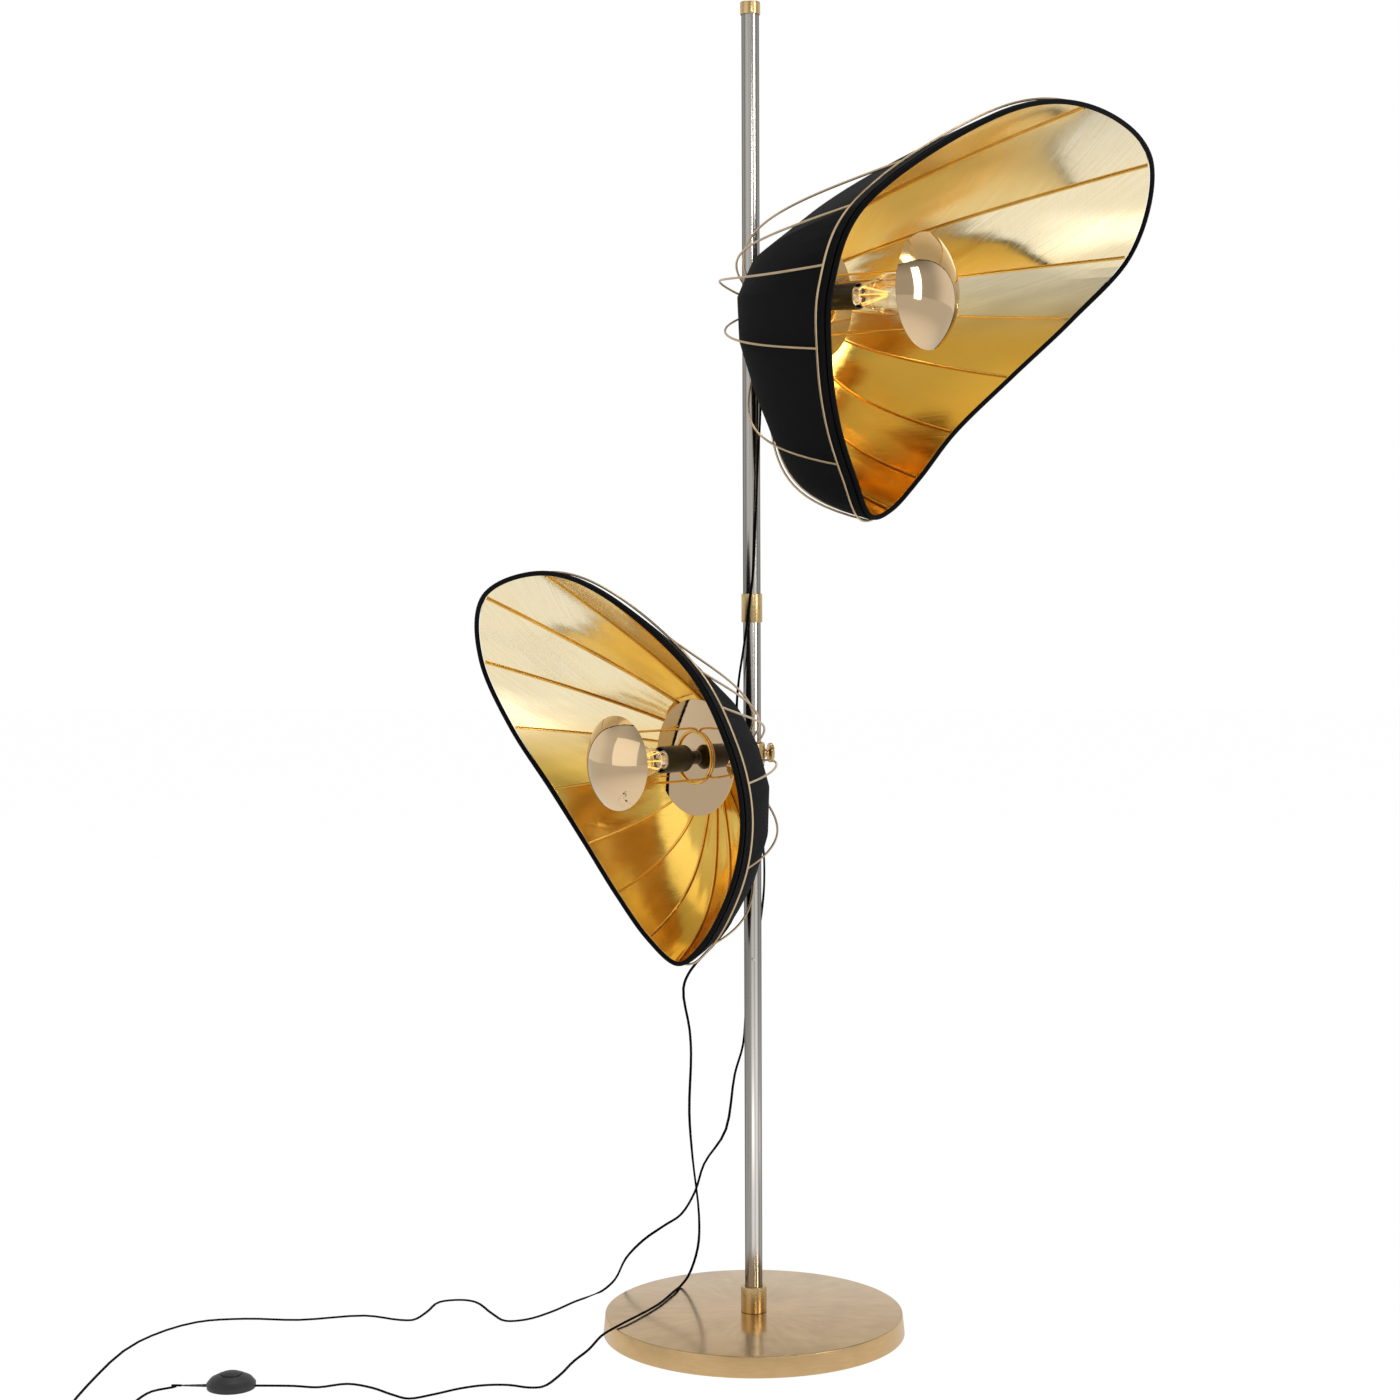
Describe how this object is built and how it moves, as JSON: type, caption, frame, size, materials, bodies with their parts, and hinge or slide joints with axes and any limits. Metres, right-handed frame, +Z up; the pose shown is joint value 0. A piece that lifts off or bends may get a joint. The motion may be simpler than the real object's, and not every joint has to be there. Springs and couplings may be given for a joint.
{
  "type": "floor lamp",
  "caption": "Free-standing floor lamp: a steel pole on a round brass base carries brimmed bowl shades, gold inside and black outside, that slide up and down and swivel.",
  "frame": {"origin": "centre of the base pad's underside, under the pole, at floor level", "axes": "+Z up along the pole, -Y towards the viewer of the picture, +X to the viewer's right"},
  "size_m": [1.4356, 0.8111, 1.8218],
  "materials": {
    "polished_brass": "polished",
    "cast_weight": "raw",
    "felt": "felt",
    "steel": "plain",
    "satin_steel": "satin",
    "gold_foil": "gold foil",
    "black_cloth": "matt",
    "gold_wire": "gold",
    "brass_wire": "satin",
    "tinted_mirror": "mirror",
    "black_holder": "satin",
    "bulb_metal": "plain",
    "clear_glass": "clear",
    "spun_mirror": "mirror",
    "black_nylon": "satin",
    "black_lead": "satin",
    "black_plastic": "satin"
  },
  "bodies": {
    "stand": {"base_cover": "polished_brass", "base_weight": "cast_weight", "base_pad": "felt", "base_bolt": "steel", "base_boss": "polished_brass", "pole_plug": "steel", "lower_pole": "satin_steel", "upper_pole": "satin_steel", "pole_spigot": "steel", "pole_coupling": "polished_brass", "top_cap": "polished_brass", "pole_screw": "steel", "upper_lead": "black_lead", "upper_switch": "black_plastic", "upper_coil": "black_lead", "upper_plug": "black_plastic", "lower_lead": "black_lead", "lower_switch": "black_plastic", "lower_tail": "black_lead", "lower_coil": "black_lead", "lower_plug": "black_plastic"},
    "upper_carrier": {"upper_bush": "black_nylon", "upper_lead_guide": "black_nylon"},
    "upper_head": {"upper_lining": "gold_foil", "upper_cloth": "black_cloth", "upper_ribs": "gold_wire", "upper_binding": "black_cloth", "upper_cage": "brass_wire", "upper_hub": "polished_brass", "upper_backplate": "tinted_mirror", "upper_retainer": "tinted_mirror", "upper_arm": "polished_brass", "upper_holder": "black_holder", "upper_bulb_cap": "bulb_metal", "upper_bulb_glass": "clear_glass", "upper_dome": "spun_mirror", "upper_dome_wires": "gold_wire", "upper_collar": "polished_brass"},
    "upper_screw": {"upper_thumb_screw": "polished_brass"},
    "upper_pedal": {"upper_button": "black_plastic"},
    "lower_carrier": {"lower_bush": "black_nylon", "lower_lead_guide": "black_nylon"},
    "lower_head": {"lower_lining": "gold_foil", "lower_cloth": "black_cloth", "lower_ribs": "gold_wire", "lower_binding": "black_cloth", "lower_cage": "brass_wire", "lower_hub": "polished_brass", "lower_backplate": "tinted_mirror", "lower_retainer": "tinted_mirror", "lower_arm": "polished_brass", "lower_holder": "black_holder", "lower_bulb_cap": "bulb_metal", "lower_bulb_glass": "clear_glass", "lower_dome": "spun_mirror", "lower_dome_wires": "gold_wire", "lower_collar": "polished_brass"},
    "lower_screw": {"lower_thumb_screw": "polished_brass"},
    "lower_pedal": {"lower_button": "black_plastic"}
  },
  "joints": [
    {"name": "upper_slide", "type": "slide", "parent": "stand", "child": "upper_carrier", "axis": [0, 0, 1], "range_m": [-0.02, 0.37], "deforming": ["upper_lead"]},
    {"name": "upper_swivel", "type": "hinge", "parent": "upper_carrier", "child": "upper_head", "pos_m": [0, 0, 1.418], "axis": [0, 0, 1], "range_deg": [-75, 75]},
    {"name": "upper_screw_turn", "type": "hinge", "parent": "upper_head", "child": "upper_screw", "pos_m": [0, 0, 1.418], "axis": [0.5075, 0.8616, 0], "range_deg": [-360, 360]},
    {"name": "upper_button_press", "type": "slide", "parent": "stand", "child": "upper_pedal", "axis": [0, 0, -1], "range_m": [0, 0.0025], "stiffness_N_per_m": 1500, "springref_m": -0.002},
    {"name": "lower_slide", "type": "slide", "parent": "stand", "child": "lower_carrier", "axis": [0, 0, 1], "range_m": [-0.13, 0.02], "deforming": ["lower_lead"]},
    {"name": "lower_swivel", "type": "hinge", "parent": "lower_carrier", "child": "lower_head", "pos_m": [0, 0, 0.806], "axis": [0, 0, 1], "range_deg": [-60, 60]},
    {"name": "lower_screw_turn", "type": "hinge", "parent": "lower_head", "child": "lower_screw", "pos_m": [0, 0, 0.806], "axis": [0.9613, 0.2756, 0], "range_deg": [-360, 360]},
    {"name": "lower_button_press", "type": "slide", "parent": "stand", "child": "lower_pedal", "axis": [0, 0, -1], "range_m": [0, 0.0025], "stiffness_N_per_m": 1500, "springref_m": -0.002}
  ]
}
